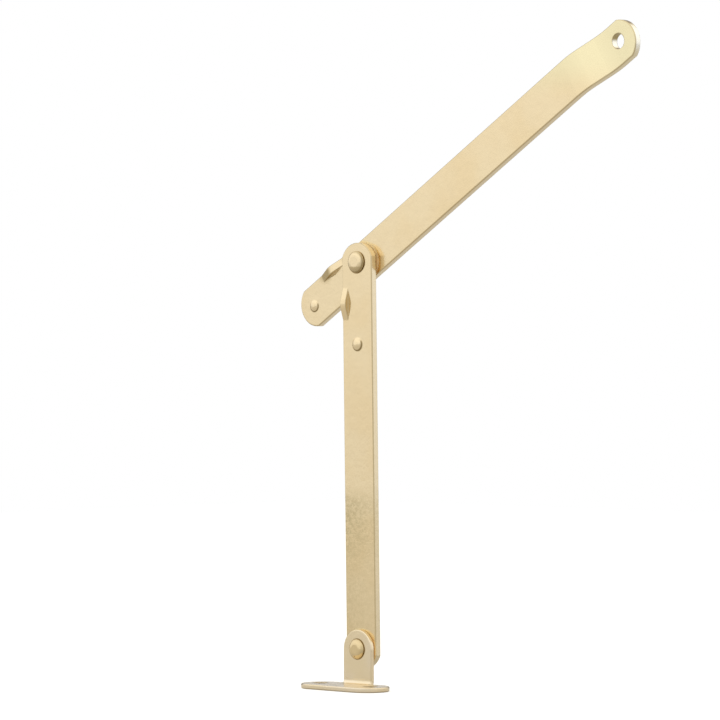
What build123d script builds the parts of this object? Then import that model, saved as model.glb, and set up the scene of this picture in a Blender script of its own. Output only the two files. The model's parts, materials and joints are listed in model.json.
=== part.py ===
from build123d import *
import os
from math import cos, radians, sin

# Lid stay: two flat arms riveted at an elbow, on a bent foot bracket.
#
# Millimetres. The origin is midway between the two foot screw holes, on the underside of the foot.
# +Z is up, +X runs along the foot plate, and the arms lie behind the bracket's tab, towards +Y.

# Strip that both arms are blanked from
arm_width = 12.7
arm_thickness = 2.3
arm_end_rise = 4.2
edge_break = 0.25

# Arm lengths, all measured from the elbow pivot
lower_reach = 119.5
upper_reach = 119.9
detent_reach = 25.4
elbow_margin = 5.95
tail_margin = 5.95
foot_margin = 6.2
screw_margin = 6.6

# Pose that the stay is drawn in
lower_lean = 0.8
upper_angle = 31.85

# Joggle that sets the screw end of the upper arm back
joggle_margin = 4.8
joggle_run = 11.5
joggle_offset = 3.6
joggle_bend_radius = 18.0

# Half-sheared stop on one edge of each arm
stop_reach = 12.9
stop_length = 9.5
stop_height = 1.45
stop_wall = 3.9
stop_play = 0.1
stop_foot_radius = 1.5
stop_crown_radius = 4.0

# Detent: a nub on the lower arm, and a bump on the upper arm's tail that lands behind it
nub_radius = 2.15
nub_height = 0.9
bump_radius = 1.9
bump_height = 0.65
dimple_wall = 0.25

# Foot bracket
sheet_thickness = 1.5
plate_depth = 13.6
screw_spacing = 21.5
plate_end_margin = 5.65
foot_screw_radius = 2.15
tab_width = 12.0
bend_radius = 1.0
foot_pivot_height = 12.2

# Screw hole in the upper arm, a little above the middle of the strip
arm_screw_radius = 2.35
arm_screw_offset = 0.45

# Rivets: each has a shoulder that the front piece turns on and a shank clamped in the rear piece
elbow_head_radius = 3.35
elbow_shoulder_radius = 2.5
elbow_shank_radius = 2.0
foot_head_radius = 3.05
foot_shoulder_radius = 2.3
foot_shank_radius = 1.8
head_rim = 0.35
head_crown = 0.85
head_shoulder = 1.7
head_rim_radius = 0.2
tail_flare = 0.9
tail_rim = 0.3
tail_crown = 0.6

# Clearances
arm_gap = 0.75
tab_gap = 0.2
running_fit = 0.05
shank_fit = 0.02
head_play = 0.05

# Places worked out from the sizes above
arm_end_radius = (arm_width**2 / 4 + arm_end_rise**2) / (2 * arm_end_rise)
tab_back = plate_depth / 2
lower_front = tab_back + tab_gap
lower_back = lower_front + arm_thickness
upper_front = lower_back + arm_gap
lean = radians(lower_lean)
rise = radians(upper_angle)
elbow_x = -lower_reach * sin(lean)
elbow_z = foot_pivot_height + lower_reach * cos(lean)

# Each arm's own plane: the elbow is its origin, X runs along the arm and Z points to the back
lower_plane = Plane(origin=(elbow_x, lower_front, elbow_z), x_dir=(sin(lean), 0, -cos(lean)), z_dir=(0, 1, 0))
upper_plane = Plane(origin=(elbow_x, upper_front, elbow_z), x_dir=(cos(rise), 0, sin(rise)), z_dir=(0, 1, 0))


def strip_outline(first_end, last_end):
    """Face of a flat arm along X, with a shallow arc across each end."""
    half = arm_width / 2
    first_corner = first_end + arm_end_rise
    last_corner = last_end - arm_end_rise
    with BuildSketch(mode=Mode.PRIVATE) as outline:
        with BuildLine():
            Line((first_corner, half), (last_corner, half))
            ThreePointArc((last_corner, half), (last_end, 0), (last_corner, -half))
            Line((last_corner, -half), (first_corner, -half))
            ThreePointArc((first_corner, -half), (first_end, 0), (first_corner, half))
        make_face()
    return outline.sketch


def side_plane(arm_plane, reach=0, across=0, depth=0):
    """Plane along an arm and through its thickness: X along the arm, Y to the back."""
    origin = arm_plane.from_local_coords((reach, across, depth))
    return Plane(origin=origin, x_dir=arm_plane.x_dir, z_dir=-arm_plane.y_dir)


def through_axis(arm_plane, reach):
    """Axis through an arm's thickness, at a distance along it from the elbow."""
    return Axis(arm_plane.from_local_coords((reach, 0, 0)), arm_plane.z_dir)


def through_plane(arm_plane, reach, across=0):
    """The arm's plane, moved along and across the arm to a hole."""
    return Plane(arm_plane.from_local_coords((reach, across, 0)), arm_plane.x_dir, arm_plane.z_dir)


def stop_profile():
    """Edge band pushed forward in a shallow ridge, seen along the width of the arm."""
    foot = stop_length / 2
    skirt = foot + arm_thickness
    with BuildSketch(mode=Mode.PRIVATE) as profile:
        with BuildLine():
            FilletPolyline(
                (-skirt, 0),
                (-foot, 0),
                (0, -stop_height),
                (foot, 0),
                (skirt, 0),
                radius=(stop_foot_radius, stop_crown_radius, stop_foot_radius),
            )
        trace(line_width=arm_thickness)
    return profile.sketch


def dome_profile(radius, height):
    """Half of a spherical cap: its radius along X, rising towards -Y, which is the front."""
    with BuildSketch(mode=Mode.PRIVATE) as profile:
        with BuildLine():
            Line((0, 0), (radius, 0))
            TangentArc((0, -height), (radius, 0), tangent=(1, 0))
            Line((0, -height), (0, 0))
        make_face()
    return profile.sketch


def rivet_profile(head, shoulder, shank, shoulder_length):
    """Half section of a shouldered rivet: radius along X, and Y to the back from the shoulder's end."""
    seat = -shoulder_length - head_play
    tail = shank + tail_flare
    tail_edge = arm_thickness + tail_rim
    with BuildSketch(mode=Mode.PRIVATE) as profile:
        with BuildLine():
            Line((0, tail_edge + tail_crown), (0, seat - head_rim - head_crown))
            Line((0, seat - head_rim - head_crown), (head - head_shoulder, seat - head_rim - head_crown))
            TangentArc((head - head_shoulder, seat - head_rim - head_crown), (head, seat - head_rim), tangent=(1, 0))
            Polyline(
                (head, seat - head_rim),
                (head, seat),
                (shoulder, seat),
                (shoulder, 0),
                (shank, 0),
                (shank, arm_thickness),
                (tail, arm_thickness),
                (tail, tail_edge),
            )
            TangentArc((0, tail_edge + tail_crown), (tail, tail_edge), tangent=(1, 0))
        make_face()
        rim = profile.vertices().group_by(Axis.X)[-1].sort_by(Axis.Y)[0]
        fillet(rim, head_rim_radius)
    return profile.sketch


def outline_edges(part, arm_plane):
    """Edges of both faces of an arm that follow its outline."""
    def on_side(edge):
        return abs(abs(arm_plane.to_local_coords(edge.center()).Y) - arm_width / 2) < 0.001

    def on_end(edge):
        return edge.geom_type == GeomType.CIRCLE and abs(edge.radius - arm_end_radius) < 0.001

    sides = part.edges().filter_by(on_side).filter_by(Axis.Y, reverse=True)
    return sides + part.edges().filter_by(on_end)


# Lower arm: elbow at the top, foot pivot at the bottom, stop on its -X edge, detent nub below it
with BuildPart() as lower_arm:
    with BuildSketch(lower_plane):
        add(strip_outline(-elbow_margin, lower_reach + foot_margin))
    extrude(amount=arm_thickness)
    with BuildSketch(through_plane(lower_plane, stop_reach)):
        with Locations((0, (stop_wall + arm_width / 2) / 2)):
            Rectangle(stop_length + 2 * arm_thickness, arm_width / 2 - stop_wall)
    extrude(amount=arm_thickness, mode=Mode.SUBTRACT)
    with BuildSketch(side_plane(lower_plane, stop_reach, arm_width / 2, arm_thickness / 2)):
        add(stop_profile())
    extrude(amount=arm_width / 2 - stop_wall)
    chamfer(outline_edges(lower_arm, lower_plane), edge_break)
    with BuildSketch(side_plane(lower_plane, detent_reach)):
        add(dome_profile(nub_radius, nub_height))
    revolve(axis=through_axis(lower_plane, detent_reach))
    with BuildSketch(side_plane(lower_plane, detent_reach, depth=arm_thickness)):
        add(dome_profile(nub_radius - dimple_wall, nub_height))
    revolve(axis=through_axis(lower_plane, detent_reach), mode=Mode.SUBTRACT)
    with Locations(lower_plane):
        Hole(elbow_shoulder_radius + running_fit)
    with Locations(through_plane(lower_plane, lower_reach)):
        Hole(foot_shank_radius + shank_fit)

# Upper arm: joggled towards the back at its screw end, with a short tail past the elbow
with BuildPart() as upper_arm:
    tail_end = detent_reach + tail_margin
    screw_end = upper_reach + screw_margin
    joggle_end = upper_reach - joggle_margin
    with BuildSketch(side_plane(upper_plane, depth=arm_thickness / 2)):
        with BuildLine():
            FilletPolyline(
                (-tail_end, 0),
                (joggle_end - joggle_run, 0),
                (joggle_end, joggle_offset),
                (screw_end, joggle_offset),
                radius=joggle_bend_radius,
            )
        trace(line_width=arm_thickness)
    extrude(amount=arm_width, both=True)
    with BuildSketch(upper_plane):
        add(strip_outline(-tail_end, screw_end))
    extrude(amount=joggle_offset + arm_thickness, mode=Mode.INTERSECT)
    stop_edge = stop_wall + stop_play
    with BuildSketch(through_plane(upper_plane, -stop_reach)):
        with Locations((0, -(stop_edge + arm_width / 2) / 2)):
            Rectangle(stop_length + 2 * arm_thickness, arm_width / 2 - stop_edge)
    extrude(amount=arm_thickness, mode=Mode.SUBTRACT)
    with BuildSketch(side_plane(upper_plane, -stop_reach, -arm_width / 2, arm_thickness / 2)):
        add(stop_profile())
    extrude(amount=stop_edge - arm_width / 2)
    chamfer(outline_edges(upper_arm, upper_plane), edge_break)
    with BuildSketch(side_plane(upper_plane, -detent_reach)):
        add(dome_profile(bump_radius, bump_height))
    revolve(axis=through_axis(upper_plane, -detent_reach))
    with BuildSketch(side_plane(upper_plane, -detent_reach, depth=arm_thickness)):
        add(dome_profile(bump_radius - dimple_wall, bump_height))
    revolve(axis=through_axis(upper_plane, -detent_reach), mode=Mode.SUBTRACT)
    with Locations(upper_plane):
        Hole(elbow_shank_radius + shank_fit)
    with Locations(through_plane(upper_plane, upper_reach, -arm_screw_offset)):
        Hole(arm_screw_radius)

# The bracket's tab and its bend, with a foot that runs forward into the plate
bend_height = bend_radius + sheet_thickness
with BuildPart() as bracket_tab:
    with BuildSketch(Plane.YZ):
        with BuildLine():
            FilletPolyline(
                (0, sheet_thickness / 2),
                (tab_back - sheet_thickness / 2, sheet_thickness / 2),
                (tab_back - sheet_thickness / 2, foot_pivot_height),
                radius=bend_radius + sheet_thickness / 2,
            )
        trace(line_width=sheet_thickness)
    extrude(amount=tab_width / 2, both=True)
    with BuildSketch(Plane((0, tab_back, foot_pivot_height), x_dir=(1, 0, 0), z_dir=(0, -1, 0))):
        Circle(tab_width / 2)
    extrude(amount=sheet_thickness)
    sides = bracket_tab.edges().filter_by(lambda e: abs(abs(e.center().X) - tab_width / 2) < 0.001)
    crown = bracket_tab.edges().filter_by(GeomType.CIRCLE).filter_by(lambda e: e.center().Z > foot_pivot_height)
    chamfer(sides.filter_by(Axis.Z) + crown, edge_break)

# Foot bracket: a plate with round ears, and the tab bent up from its back edge
with BuildPart() as foot_bracket:
    with BuildSketch():
        SlotOverall(screw_spacing + 2 * plate_end_margin, plate_depth)
    extrude(amount=sheet_thickness)
    chamfer(foot_bracket.edges().filter_by(Axis.Z, reverse=True), edge_break)
    with BuildSketch():
        with Locations((0, tab_back - bend_height / 2)):
            Rectangle(tab_width, bend_height)
    extrude(amount=sheet_thickness, mode=Mode.SUBTRACT)
    add(bracket_tab)
    with Locations((0, 0, sheet_thickness)):
        with GridLocations(screw_spacing, 0, 2, 1):
            Hole(foot_screw_radius)
    with Locations(Plane((0, tab_back, foot_pivot_height), x_dir=(1, 0, 0), z_dir=(0, -1, 0))):
        Hole(foot_shoulder_radius + running_fit)

# Elbow rivet: the lower arm turns on its shoulder, and its tail clamps the upper arm
with BuildPart() as elbow_rivet:
    with BuildSketch(Plane(upper_plane.origin, x_dir=(1, 0, 0), z_dir=(0, 0, 1))):
        add(rivet_profile(elbow_head_radius, elbow_shoulder_radius, elbow_shank_radius, arm_thickness + arm_gap))
    revolve(axis=Axis(upper_plane.origin, (0, 1, 0)))

# Foot rivet: it turns in the bracket's tab on its shoulder, and its tail clamps the lower arm
with BuildPart() as foot_rivet:
    foot_pivot = lower_plane.from_local_coords((lower_reach, 0, 0))
    with BuildSketch(Plane(foot_pivot, x_dir=(1, 0, 0), z_dir=(0, 0, 1))):
        add(rivet_profile(foot_head_radius, foot_shoulder_radius, foot_shank_radius, sheet_thickness + tab_gap))
    revolve(axis=Axis(foot_pivot, (0, 1, 0)))

os.makedirs("parts", exist_ok=True)
lower_arm.part.label = "lower_arm"
upper_arm.part.label = "upper_arm"
foot_bracket.part.label = "foot_bracket"
elbow_rivet.part.label = "elbow_rivet"
foot_rivet.part.label = "foot_rivet"
export_step(lower_arm.part, "parts/lower_arm.step")
export_step(upper_arm.part, "parts/upper_arm.step")
export_step(foot_bracket.part, "parts/foot_bracket.step")
export_step(elbow_rivet.part, "parts/elbow_rivet.step")
export_step(foot_rivet.part, "parts/foot_rivet.step")
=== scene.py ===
"""Looks of the lid stay: satin brass plating with painted light and shade, a pale floor and soft
studio light.
"""
import json
import math

import bpy
from mathutils import Matrix, Vector


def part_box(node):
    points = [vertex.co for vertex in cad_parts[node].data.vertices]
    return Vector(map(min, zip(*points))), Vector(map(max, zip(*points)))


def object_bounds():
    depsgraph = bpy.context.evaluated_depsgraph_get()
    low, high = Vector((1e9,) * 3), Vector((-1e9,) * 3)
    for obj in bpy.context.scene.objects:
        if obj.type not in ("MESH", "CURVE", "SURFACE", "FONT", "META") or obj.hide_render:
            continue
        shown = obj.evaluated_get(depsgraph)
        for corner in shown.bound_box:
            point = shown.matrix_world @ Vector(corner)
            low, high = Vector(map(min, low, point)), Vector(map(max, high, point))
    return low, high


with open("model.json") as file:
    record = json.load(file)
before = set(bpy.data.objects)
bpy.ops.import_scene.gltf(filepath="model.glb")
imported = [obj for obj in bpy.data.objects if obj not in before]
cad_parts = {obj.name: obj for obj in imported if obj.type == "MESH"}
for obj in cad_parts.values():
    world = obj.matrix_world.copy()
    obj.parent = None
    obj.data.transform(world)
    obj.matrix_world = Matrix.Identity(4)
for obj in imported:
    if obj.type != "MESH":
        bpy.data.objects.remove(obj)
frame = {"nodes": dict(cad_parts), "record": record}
cad_lo, cad_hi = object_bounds()

MM = 0.001
WHITE = (1.0, 1.0, 1.0, 1.0)

# Camera, in degrees, metres and (lens and sensor) millimetres. Azimuth 0 looks along +Y.
CAMERA_AZIMUTH = 44.6
CAMERA_ELEVATION = 0.32
CAMERA_ROLL = -0.095
CAMERA_BACK = 1.3298
CAMERA_RIGHT = -0.02604
CAMERA_UP = 0.00072
CAMERA_LENS = 220.0
CAMERA_SENSOR = 36.0
CAMERA_REACH = 20.0

# Plating, what lies on it, and painted light and shade, as linear colours
BRASS = (0.840, 0.690, 0.440, 1.0)
BRASS_WARM = (0.825, 0.660, 0.400, 1.0)
# Painted reflection: paler, less saturated copy of the brass for the arms' side faces
BRASS_SIDE_PAINTED_LIGHT = (0.825, 0.725, 0.535, 1.0)
# Painted highlight: paler brass toward the far end of the upper arm
BRASS_PAINTED_HIGHLIGHT = (0.835, 0.745, 0.468, 1.0)
# Painted shade: darker copy of the brass for rounded edges, raised walls, the stop's end and the
# heads' slopes and lower part
BRASS_PAINTED_SHADE = (0.500, 0.390, 0.210, 1.0)
BRASS_GOLD = (0.720, 0.570, 0.320, 1.0)
BRASS_BRACKET = (0.835, 0.722, 0.545, 1.0)
WARM_BRACKET = (0.825, 0.695, 0.470, 1.0)
# Painted shade: darker copy of the bracket's brass for its plate top and side faces
BRACKET_RIM_PAINTED_SHADE = (0.780, 0.650, 0.440, 1.0)
# Painted highlight: near-white on the upper arm's end wall
PAINTED_END_HIGHLIGHT = (0.950, 0.910, 0.790, 1.0)
HOLE_SHADE = (0.420, 0.330, 0.150, 1.0)
TARNISH = (0.565, 0.470, 0.270, 1.0)
# Painted reflection and painted shade in the gaps between parts: orange, gold and dark brown
PAINTED_GAP_ORANGE = (0.930, 0.630, 0.240, 1.0)
PAINTED_GAP_GOLD = (0.980, 0.790, 0.420, 1.0)
GAP_SHADE_BROWN = (0.300, 0.150, 0.012, 1.0)
# Painted shade: dark brown round the heads and in the screw holes, painted dark reflection on the
# upper arm's end crown, and a fainter brown round heads, nub and bump
PAINTED_SHADE_BROWN = (0.360, 0.250, 0.110, 1.0)
FAINT_PAINTED_SHADE_BROWN = (0.340, 0.250, 0.120, 1.0)

# Painted light and shade on the faces that turn away from Y: a paler painted reflection on the
# arms' sides, painted shade on the bracket's and heads' sides. Colour, share, and the tilts (the
# normal's share along Y) at which it is full and gone
ARM_SIDE_PAINTED_LIGHT = (BRASS_SIDE_PAINTED_LIGHT, 0.6, 0.2, 0.6)
BRACKET_SIDE_PAINTED_SHADE = (BRACKET_RIM_PAINTED_SHADE, 0.8, 0.2, 0.6)
FOOT_HEAD_PAINTED_SHADE = (BRASS_PAINTED_SHADE, 0.45, 0.62, 0.98)
ELBOW_HEAD_PAINTED_SHADE = (BRASS_PAINTED_SHADE, 0.9, 0.62, 0.98)

# Texture of the plating: scales per metre, and the noise values that a fade runs between
DRIFT_SCALE = 60.0
DRIFT_FADE = (0.35, 0.70)
MOTTLE_SCALE = 420.0
MOTTLE_FADE = (0.30, 0.70)
GRAIN_SCALE = 2600.0
GRAIN_SHARE = 0.12
SPOT_SCALE = 1100.0
SPOT_FADE = (0.35, 0.65)
SPOT_LEAST = 0.25
GLOSS_LESS = 0.03
GLOSS_MORE = 0.05
SIDE_DULLING = 0.08
RING_DULLING = 0.25

# Rounded edges: radius, share of painted shade, cosine of the bend, and the tilts of a 45-degree
# edge break
ROUNDING = 0.42 * MM
ROUNDING_SAMPLES = 8
ARRIS_SHARE = 0.60
ARRIS_BEND = (0.940, 0.996)
BREAK_RISE = (0.66, 0.69)
BREAK_FALL = (0.73, 0.76)

# Marks and painted shade, as shares, heights and places in metres, and parts of the normal. Depths
# are along Y.
FRONT = -1.0
BACK = 1.0
RING_FACING = (0.50, 0.80)
WALL_DEPTH = (-0.10 * MM, -0.02 * MM)
WALL_SHARE = 0.45
STOP_SHADE_DEPTH = (-0.30 * MM, -0.05 * MM)
STOP_SHADE_FADE = (2.2 * MM, 4.2 * MM)
GAP_SHADE_BROWN_DEPTH = (1.2 * MM, 2.0 * MM)
GAP_SHADE_BROWN_SHARE = 0.60
GAP_SHADE_BROWN_FADE = (6.7 * MM, 7.5 * MM)
GAP_SHADE_BROWN_LIFT = (1.6 * MM, 2.8 * MM)
HOLE_RIM = (0.15 * MM, 0.80 * MM)
HOLE_RIM_SHARE = 0.70
PLATE_TOP = (2.0 * MM, 2.5 * MM)
SHADE_FADE = (-1.65 * MM, -1.25 * MM)
SHADE_SHARE = 0.75
TARNISH_RISE = (0.036, 0.050)
TARNISH_LOW = 0.50
TARNISH_FALL = (0.0555, 0.0635)
TARNISH_ACROSS = (-0.008, 0.006)
TARNISH_RIGHT = 0.45

# Screw end of the upper arm: where its painted highlight starts, and the normals of its wall
# (painted highlight), crown (painted dark reflection) and hole lining (painted shade)
PAINTED_HIGHLIGHT_HEIGHT = (0.178, 0.192)
END_AHEAD = (0.60, 0.90)
END_UP = (-0.50, -0.15)
END_LOW = 0.15
CROWN_UP = (0.70, 0.85)
CROWN_AHEAD = (-0.30, 0.00)
CROWN_SHARE = 0.85
LINING_UP = (-0.45, -0.05)
LINING_SHARE = 0.90
LINING_FADE = (2.45 * MM, 2.70 * MM)

# Sizes on the arms that the painted shade follows
DETENT_REACH = 25.4 * MM
STOP_HEIGHT = 1.45 * MM
STOP_REACH = 12.9 * MM
STOP_FAR_PART = 3.0 * MM
ARM_HALF_WIDTH = 6.35 * MM

# Floor and lamp
FLOOR_HALF_SIZE = 1.1
FLOOR_DROP = 0.05 * MM
FLOOR_COLOUR = (0.68, 0.655, 0.605, 1.0)
FLOOR_GLOW = 0.52
FLOOR_SHEEN = 0.15
FLOOR_SHEEN_EDGE = (0.50, 0.93)
KEY_PLACE = (-0.9, -0.9, 1.3)
KEY_AIM = (0.03, 0.0, 0.1)
KEY_SIZE = 1.4
KEY_POWER = 5.0

# Light that the metal sees, where 1 is white. An edge is a pair of heights, or of cosines from the
# direction in which the photograph looks.
SIDE_LOW = 0.93
SIDE_HIGH = 1.07
SIDE_RISE = (-0.020, 0.070)
SKY_LEVEL = 1.20
SKY_RISE = (0.20, 0.50)
FLOOR_LEVEL = 0.74
FLOOR_EDGE = (-0.055, -0.025)
DEEP_SHARE = 0.55
DEEP_EDGE = (-0.60, -0.12)
RING_SHARE = 0.12
HIGH_RING_SHARE = 0.45
RING_HEIGHT = (0.12, 0.22)
RING_EDGE = (0.66, 0.82)
BACKDROP_LEVEL = 1.02
BACKDROP_EDGE = (0.984, 0.997)
CAMERA_SHARE = 0.82
CAMERA_EDGE = (-0.96, -0.70)
DIFFUSE_LEVEL = 0.90


class Shader:
    """Adds and joins the nodes of one tree."""

    def __init__(self, owner):
        owner.use_nodes = True
        self.tree = owner.node_tree
        self.tree.nodes.clear()

    def add(self, kind, inputs=None, **settings):
        """New node, whose inputs are set to plain values or linked to sockets."""
        node = self.tree.nodes.new(kind)
        for key, value in settings.items():
            setattr(node, key, value)
        for key, value in (inputs or {}).items():
            if isinstance(value, bpy.types.NodeSocket):
                self.tree.links.new(value, node.inputs[key])
            else:
                node.inputs[key].default_value = value
        return node

    def split(self, vector):
        return self.add("ShaderNodeSeparateXYZ", {0: vector}).outputs

    def join(self, x=0.0, y=0.0, z=0.0):
        return self.add("ShaderNodeCombineXYZ", {0: x, 1: y, 2: z}).outputs[0]

    def math(self, operation, a, b=0.0):
        return self.add("ShaderNodeMath", {0: a, 1: b}, operation=operation).outputs[0]

    def product(self, first, *others):
        for other in others:
            first = self.math("MULTIPLY", first, other)
        return first

    def measure(self, operation, a, b=(0.0, 0.0, 0.0)):
        """Vector maths whose result is a number."""
        node = self.add("ShaderNodeVectorMath", {0: a, 1: b}, operation=operation)
        return node.outputs["Value"]

    def remap(self, value, low, high, to_low, to_high, smooth=True):
        kind = "SMOOTHSTEP" if smooth else "LINEAR"
        inputs = {0: value, 1: low, 2: high, 3: to_low, 4: to_high}
        return self.add("ShaderNodeMapRange", inputs, interpolation_type=kind).outputs[0]

    def noise(self, vector, scale, detail=2.0, roughness=0.5):
        inputs = {"Vector": vector, "Scale": scale, "Detail": detail, "Roughness": roughness}
        return self.add("ShaderNodeTexNoise", inputs).outputs["Fac"]

    def mix_colour(self, factor, a, b):
        return self.add("ShaderNodeMix", {0: factor, 6: a, 7: b}, data_type="RGBA").outputs[2]

    def mix_number(self, factor, a, b):
        return self.add("ShaderNodeMix", {0: factor, 2: a, 3: b}, data_type="FLOAT").outputs[0]


class Brass(Shader):
    """Satin plating on one piece: faint colour drift, uneven gloss and soft ripple, with painted
    light and shade by height and by the normal.
    """

    def __init__(self, name, seed, roughness, ripple, side,
                 base=BRASS, warm=BRASS_WARM, painted_highlight_height=None):
        self.material = bpy.data.materials.new(name)
        super().__init__(self.material)
        texture = self.add("ShaderNodeTexCoord").outputs
        offset = (seed, seed * 0.7, seed * 1.3)
        inputs = {0: texture["Object"], 1: offset}
        self.place = self.add("ShaderNodeVectorMath", inputs, operation="ADD").outputs[0]
        self.axes = self.split(texture["Object"])
        self.flat = self.join(x=self.axes["X"], z=self.axes["Z"])
        self.facing = self.split(texture["Normal"])
        self.tilt = self.math("ABSOLUTE", self.facing["Y"])
        self.normal = self.add("ShaderNodeNewGeometry").outputs["Normal"]
        self.rounded = self.add("ShaderNodeBevel", {"Radius": ROUNDING},
                                samples=ROUNDING_SAMPLES).outputs[0]

        drift = self.noise(self.place, DRIFT_SCALE, 3.0)
        self.colour = self.mix_colour(self.remap(drift, *DRIFT_FADE, 0.0, 1.0), base, warm)
        # Painted highlight: paler brass above a height, toward the far end of the upper arm
        if painted_highlight_height:
            self.pale = self.remap(self.axes["Z"], *painted_highlight_height, 0.0, 1.0)
            self.tint(self.pale, BRASS_PAINTED_HIGHLIGHT)
        # Painted light and shade by the normal: faces that turn away from Y get the piece's side
        # colour, paler on the arms and darker on the bracket and heads
        side_colour, side_share, *side_edge = side
        self.on_side = self.remap(self.tilt, *side_edge, 1.0, 0.0)
        self.tint(self.product(self.on_side, side_share), side_colour)

        mottle = self.noise(self.place, MOTTLE_SCALE, 3.0, 0.6)
        self.gloss = self.remap(mottle, *MOTTLE_FADE, roughness - GLOSS_LESS,
                                roughness + GLOSS_MORE, smooth=False)
        self.dull(self.on_side, SIDE_DULLING)
        self.metal = 1.0
        grain = self.noise(self.place, GRAIN_SCALE, 2.0, 0.6)
        self.height = self.math("ADD", self.product(mottle, ripple),
                                self.product(grain, GRAIN_SHARE * ripple))

    def tint(self, mask, colour):
        self.colour = self.mix_colour(mask, self.colour, colour)

    def dull(self, mask, amount):
        self.gloss = self.math("ADD", self.gloss, self.product(mask, amount))

    def distance(self, centre):
        """Distance from the axis along Y through a point."""
        return self.measure("DISTANCE", self.flat, (centre.x, 0.0, centre.z))

    def height_fade(self, centre, fade, share=1.0):
        """Full below the first height over a point, and gone above the second."""
        low, high = fade
        return self.remap(self.axes["Z"], centre.z + low, centre.z + high, share, 0.0)

    def depth_fade(self, face, fade, from_share, to_share):
        """Changes between two depths behind a face that looks along -Y."""
        near, far = fade
        return self.remap(self.axes["Y"], face + near, face + far, from_share, to_share)

    def paint_end_light(self, hole):
        """Painted highlight on the end wall of an arm that points to +X, with a painted dark
        reflection on its crown and painted shade in its hole lining.
        """
        ahead, up = self.facing["X"], self.facing["Z"]
        self.tint(self.product(self.pale, self.remap(ahead, *END_AHEAD, 0.0, 1.0),
                               self.remap(up, *END_UP, END_LOW, 1.0)), PAINTED_END_HIGHLIGHT)
        self.tint(self.product(self.pale, self.remap(up, *CROWN_UP, 0.0, CROWN_SHARE),
                               self.remap(ahead, *CROWN_AHEAD, 0.0, 1.0)), PAINTED_SHADE_BROWN)
        near = self.remap(self.distance(hole), *LINING_FADE, 1.0, 0.0)
        lining = self.remap(up, *LINING_UP, LINING_SHARE, 0.0)
        self.tint(self.product(lining, near, self.on_side), HOLE_SHADE)

    def shade_raised_walls(self, face):
        """Painted shade on the sheared walls of what stands proud of the arm's front face."""
        raised = self.depth_fade(face, WALL_DEPTH, WALL_SHARE, 0.0)
        self.tint(self.product(raised, self.on_side), BRASS_PAINTED_SHADE)

    def shade_stop_end(self, centre, face):
        """Painted shade round a point, only on what stands proud of the front face."""
        near = self.remap(self.distance(centre), *STOP_SHADE_FADE, 1.0, 0.0)
        self.tint(self.product(near, self.depth_fade(face, STOP_SHADE_DEPTH, 1.0, 0.0)), BRASS_PAINTED_SHADE)

    def shade_gap_side(self, centre, face):
        """Painted shade along the back edge of the arm's side, beside a pivot, next to the gap to
        the other arm.
        """
        near = self.remap(self.distance(centre), *GAP_SHADE_BROWN_FADE, 1.0, 0.0)
        behind = self.depth_fade(face, GAP_SHADE_BROWN_DEPTH, 0.0, GAP_SHADE_BROWN_SHARE)
        low = self.height_fade(centre, GAP_SHADE_BROWN_LIFT)
        self.tint(self.product(near, behind, low, self.on_side), GAP_SHADE_BROWN)

    def shade_holes(self, half_spacing, radius):
        """Painted shade in and round the plate's two screw holes, which lie at each side along X.
        """
        across = self.math("SUBTRACT", self.math("ABSOLUTE", self.axes["X"]), half_spacing)
        apart = self.measure("LENGTH", self.join(x=across, y=self.axes["Y"]))
        near = self.remap(apart, radius + HOLE_RIM[0], radius + HOLE_RIM[1], HOLE_RIM_SHARE, 0.0)
        self.tint(self.product(near, self.remap(self.axes["Z"], *PLATE_TOP, 1.0, 0.0)), PAINTED_SHADE_BROWN)

    def tarnish(self):
        """Spotty grey-green band low on the arm, stronger on the left."""
        spots = self.noise(self.place, SPOT_SCALE, 4.0, 0.75)
        self.tint(self.product(
            self.remap(spots, *SPOT_FADE, SPOT_LEAST, 1.0),
            self.remap(self.axes["Z"], *TARNISH_RISE, TARNISH_LOW, 1.0),
            self.remap(self.axes["Z"], *TARNISH_FALL, 1.0, 0.0),
            self.remap(self.axes["X"], *TARNISH_ACROSS, 1.0, TARNISH_RIGHT)), TARNISH)

    def arrises(self, breaks=False):
        """Painted shade on rounded edges, and on edge breaks on a piece that has them."""
        bend = self.measure("DOT_PRODUCT", self.rounded, self.normal)
        mask = self.remap(bend, *ARRIS_BEND, 1.0, 0.0)
        if breaks:
            on_break = self.product(self.remap(self.tilt, *BREAK_RISE, 0.0, 1.0),
                                    self.remap(self.tilt, *BREAK_FALL, 1.0, 0.0))
            mask = self.math("MAXIMUM", mask, on_break)
        self.tint(self.product(mask, ARRIS_SHARE), BRASS_PAINTED_SHADE)

    def ring(self, centre, side, fade, colour, radius=0.0, dull=0.0, lift=None):
        """A ring of painted shade, or of painted reflection in a gap, in the colour given, round an
        axis along Y, on the faces that look to one side.

        Sizes are in millimetres. It is full within the first number of fade from the radius, and
        gone at the second. Lift is the pair of heights over the centre where it fades out. Dull is
        how much of the metal it covers.
        """
        apart = self.math("ABSOLUTE", self.math("SUBTRACT", self.distance(centre), radius * MM))
        mask = self.product(
            self.remap(apart, fade[0] * MM, fade[1] * MM, 1.0, 0.0),
            self.remap(self.product(self.facing["Y"], side), *RING_FACING, 0.0, 1.0))
        if lift:
            mask = self.product(mask, self.height_fade(centre, (lift[0] * MM, lift[1] * MM)))
        self.tint(mask, colour)
        self.dull(mask, RING_DULLING)
        if dull:
            self.metal = self.math("SUBTRACT", self.metal, self.product(mask, dull))

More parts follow.
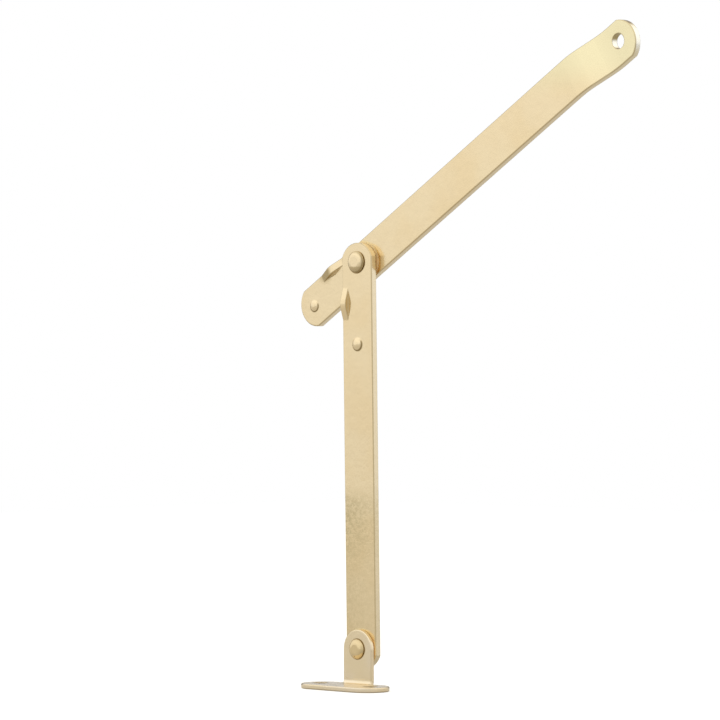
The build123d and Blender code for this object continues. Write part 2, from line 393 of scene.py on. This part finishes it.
    def finish(self):
        """Joins colour, gloss and ripple in the surface, and returns the material."""
        inputs = {"Strength": 1.0, "Distance": 1.0, "Height": self.height, "Normal": self.rounded}
        surface = self.add("ShaderNodeBsdfPrincipled", {
            "Base Color": self.colour,
            "Metallic": self.metal,
            "Roughness": self.gloss,
            "Normal": self.add("ShaderNodeBump", inputs).outputs[0],
        })
        self.add("ShaderNodeOutputMaterial", {"Surface": surface.outputs[0]})
        return self.material


def dress(node, brass):
    """Gives a CAD node its plating, on every material slot that it has."""
    material = brass.finish()
    mesh = frame["nodes"][node].data
    if not mesh.materials:
        mesh.materials.append(material)
    for index in range(len(mesh.materials)):
        mesh.materials[index] = material


def node_centre(node):
    low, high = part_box(node)
    return (low + high) / 2


def mount(name):
    return next(row for row in frame["record"]["mounts"] if row["name"] == name)


def dress_stay():
    """Plates the five nodes, with each one's own marks and painted light and shade."""
    foot = node_centre("foot_rivet")
    elbow = node_centre("elbow_rivet")
    screw = Vector(mount("arm_screw")["pos_m"])
    foot_holes = mount("foot_screws")["dims"]
    nub = elbow + (foot - elbow).normalized() * DETENT_REACH
    tail = Vector((elbow.x - screw.x, 0.0, elbow.z - screw.z)).normalized()
    bump = elbow + tail * DETENT_REACH
    stop_edge = Vector((tail.z, 0.0, -tail.x)) * ARM_HALF_WIDTH
    stop_foot = elbow + tail * (STOP_REACH + STOP_FAR_PART) + stop_edge

    bracket = Brass("plated_bracket", 0.31, 0.15, 0.00004, BRACKET_SIDE_PAINTED_SHADE,
                    base=BRASS_BRACKET, warm=WARM_BRACKET)
    bracket.shade_holes(foot_holes["spacing_x_mm"] / 2 * MM, foot_holes["hole_r_mm"] * MM)
    bracket.arrises()
    # Painted reflection and painted shade in the gap between the tab and the lower arm, and painted
    # shade round the foot rivet's head
    bracket.ring(foot, BACK, (5.5, 7.0), PAINTED_GAP_GOLD, dull=0.4)
    bracket.ring(foot, BACK, (5.5, 7.0), PAINTED_GAP_ORANGE, dull=0.6, lift=(2.0, 5.0))
    bracket.ring(foot, FRONT, (0.05, 0.4), PAINTED_SHADE_BROWN, radius=3.1)
    dress("foot_bracket", bracket)

    lower = Brass("plated_lower_arm", 0.77, 0.14, 0.00003, ARM_SIDE_PAINTED_LIGHT)
    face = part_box("lower_arm")[0].y + STOP_HEIGHT
    lower.shade_raised_walls(face)
    lower.shade_gap_side(elbow, face)
    lower.tarnish()
    lower.arrises(breaks=True)
    # Painted reflection and painted shade in the gaps at the elbow and at the foot, and painted
    # shade round the elbow head and the nub
    lower.ring(elbow, BACK, (5.5, 7.4), PAINTED_GAP_GOLD, dull=0.4)
    lower.ring(elbow, BACK, (5.5, 7.4), PAINTED_GAP_ORANGE, dull=0.6, lift=(1.2, 3.0))
    lower.ring(foot, FRONT, (5.4, 6.9), PAINTED_GAP_GOLD, dull=0.4)
    lower.ring(foot, FRONT, (5.4, 6.9), PAINTED_GAP_ORANGE, dull=0.6, lift=(2.0, 5.0))
    lower.ring(elbow, FRONT, (0.1, 0.45), PAINTED_SHADE_BROWN, radius=3.35, lift=(1.5, 3.6))
    lower.ring(nub, FRONT, (0.08, 0.35), FAINT_PAINTED_SHADE_BROWN, radius=1.95, lift=(0.6, 1.7))
    dress("lower_arm", lower)

    upper = Brass("plated_upper_arm", 1.43, 0.17, 0.00004, ARM_SIDE_PAINTED_LIGHT, painted_highlight_height=PAINTED_HIGHLIGHT_HEIGHT)
    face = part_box("upper_arm")[0].y + STOP_HEIGHT
    upper.paint_end_light(screw)
    upper.shade_raised_walls(face)
    upper.shade_stop_end(stop_foot, face)
    upper.arrises(breaks=True)
    # Painted reflection and painted shade in the gap behind the lower arm at the elbow, and painted
    # shade round the bump
    upper.ring(elbow, FRONT, (6.2, 7.0), PAINTED_GAP_GOLD, dull=0.9)
    upper.ring(elbow, FRONT, (5.3, 5.7), PAINTED_GAP_ORANGE, dull=0.6, lift=(1.2, 3.0))
    upper.ring(bump, FRONT, (0.08, 0.30), FAINT_PAINTED_SHADE_BROWN, radius=1.72, lift=(0.2, 1.4))
    dress("upper_arm", upper)

    # Foot head: painted shade on its sloping shoulder and on its rounded edges
    foot_head = Brass("plated_foot_rivet", 2.09, 0.14, 0.00003, FOOT_HEAD_PAINTED_SHADE, base=BRASS_GOLD)
    foot_head.arrises()
    dress("foot_rivet", foot_head)

    elbow_head = Brass("plated_elbow_rivet", 2.71, 0.14, 0.00003, ELBOW_HEAD_PAINTED_SHADE)
    # Painted shade on the lower part of the elbow rivet's head
    elbow_head.tint(elbow_head.height_fade(elbow, SHADE_FADE, SHADE_SHARE), BRASS_PAINTED_SHADE)
    elbow_head.arrises()
    # Painted shade round the lower rim of the elbow rivet's head
    elbow_head.ring(elbow, FRONT, (0.05, 0.40), FAINT_PAINTED_SHADE_BROWN, radius=3.2, lift=(1.5, 3.4))
    dress("elbow_rivet", elbow_head)


def make_floor():
    """Pale floor under the foot. It is white to the camera, with the stay's shadow on it."""
    size = FLOOR_HALF_SIZE
    mesh = bpy.data.meshes.new("floor")
    corners = [(-size, -size, 0), (size, -size, 0), (size, size, 0), (-size, size, 0)]
    mesh.from_pydata(corners, [], [(0, 1, 2, 3)])
    floor = bpy.data.objects.new("floor", mesh)
    floor.location = (0.0, 0.0, cad_lo.z - FLOOR_DROP)
    bpy.context.scene.collection.objects.link(floor)
    material = bpy.data.materials.new("pale_floor")
    shader = Shader(material)
    diffuse = shader.add("ShaderNodeBsdfDiffuse", {"Color": FLOOR_COLOUR}).outputs[0]
    glow = shader.add("ShaderNodeEmission", {"Color": WHITE, "Strength": FLOOR_GLOW}).outputs[0]
    lit = shader.add("ShaderNodeAddShader", {0: diffuse, 1: glow}).outputs[0]
    path = shader.add("ShaderNodeLightPath").outputs
    seen = shader.math("MAXIMUM", path["Is Camera Ray"], path["Is Transmission Ray"])
    low = shader.add("ShaderNodeLayerWeight", {"Blend": 0.5}).outputs["Facing"]
    sheen = shader.remap(low, *FLOOR_SHEEN_EDGE, 0.0, FLOOR_SHEEN)
    seen = shader.math("MAXIMUM", seen, shader.product(path["Is Glossy Ray"], sheen))
    surface = shader.add("ShaderNodeMixShader", {0: seen, 1: diffuse, 2: lit}).outputs[0]
    shader.add("ShaderNodeOutputMaterial", {"Surface": surface})
    mesh.materials.append(material)


def make_world():
    """White studio: a backdrop, soft light at the sides and above, and a dark ring between."""
    world = bpy.data.worlds.new("studio")
    bpy.context.scene.world = world
    shader = Shader(world)
    direction = shader.add("ShaderNodeTexCoord").outputs["Generated"]
    angle = math.radians(CAMERA_AZIMUTH)
    forward = (-math.sin(angle), math.cos(angle), 0.0)
    height = shader.split(direction)["Z"]
    ahead = shader.measure("DOT_PRODUCT", direction, forward)

    level = shader.remap(height, *SIDE_RISE, SIDE_LOW, SIDE_HIGH, smooth=False)
    floor = shader.remap(height, *FLOOR_EDGE, FLOOR_LEVEL / SIDE_LOW, 1.0)
    deep = shader.remap(height, *DEEP_EDGE, DEEP_SHARE, 1.0)
    sky = shader.remap(height, *SKY_RISE, 0.0, SKY_LEVEL - SIDE_HIGH)
    level = shader.math("ADD", shader.product(level, floor, deep), sky)
    ring = shader.remap(height, *RING_HEIGHT, RING_SHARE, HIGH_RING_SHARE)
    level = shader.product(level, shader.remap(ahead, *RING_EDGE, 1.0, ring),
                           shader.remap(ahead, *CAMERA_EDGE, CAMERA_SHARE, 1.0))
    backdrop = shader.remap(ahead, *BACKDROP_EDGE, 0.0, 1.0)
    level = shader.mix_number(backdrop, level, BACKDROP_LEVEL)

    path = shader.add("ShaderNodeLightPath").outputs
    reflected = shader.math("MAXIMUM", path["Is Glossy Ray"], path["Is Transmission Ray"])
    plain = shader.mix_number(reflected, DIFFUSE_LEVEL, level)
    strength = shader.mix_number(path["Is Camera Ray"], plain, 1.0)
    surface = shader.add("ShaderNodeBackground", {"Color": WHITE, "Strength": strength})
    shader.add("ShaderNodeOutputWorld", {"Surface": surface.outputs[0]})


def make_key_lamp():
    """Soft square lamp, up on the left, that the metal doesn't mirror."""
    lamp = bpy.data.lights.new("key", "AREA")
    lamp.size = KEY_SIZE
    lamp.energy = KEY_POWER
    holder = bpy.data.objects.new("key", lamp)
    holder.location = KEY_PLACE
    toward = Vector(KEY_AIM) - Vector(KEY_PLACE)
    holder.rotation_euler = toward.to_track_quat("-Z", "Y").to_euler()
    holder.visible_glossy = False
    bpy.context.scene.collection.objects.link(holder)


def make_camera():
    """Camera at the photograph's angle, placed from the middle of the stay."""
    turn = math.radians(CAMERA_AZIMUTH)
    tilt = math.radians(CAMERA_ELEVATION)
    level = math.cos(tilt)
    back = Vector((math.sin(turn) * level, -math.cos(turn) * level, math.sin(tilt)))
    right = Vector((math.cos(turn), math.sin(turn), 0.0))
    up = back.cross(right)
    middle = (cad_lo + cad_hi) / 2
    place = middle + right * CAMERA_RIGHT + up * CAMERA_UP + back * CAMERA_BACK
    camera = bpy.data.cameras.new("camera")
    camera.lens = CAMERA_LENS
    camera.sensor_width = CAMERA_SENSOR
    camera.clip_end = CAMERA_REACH
    holder = bpy.data.objects.new("camera", camera)
    facing = Matrix((right, up, back)).transposed().to_4x4()
    roll = Matrix.Rotation(math.radians(CAMERA_ROLL), 4, "Z")
    holder.matrix_world = Matrix.Translation(place) @ facing @ roll
    bpy.context.scene.collection.objects.link(holder)
    bpy.context.scene.camera = holder


dress_stay()
make_floor()
make_world()
make_key_lamp()
make_camera()
bpy.context.scene.view_settings.view_transform = "Standard"
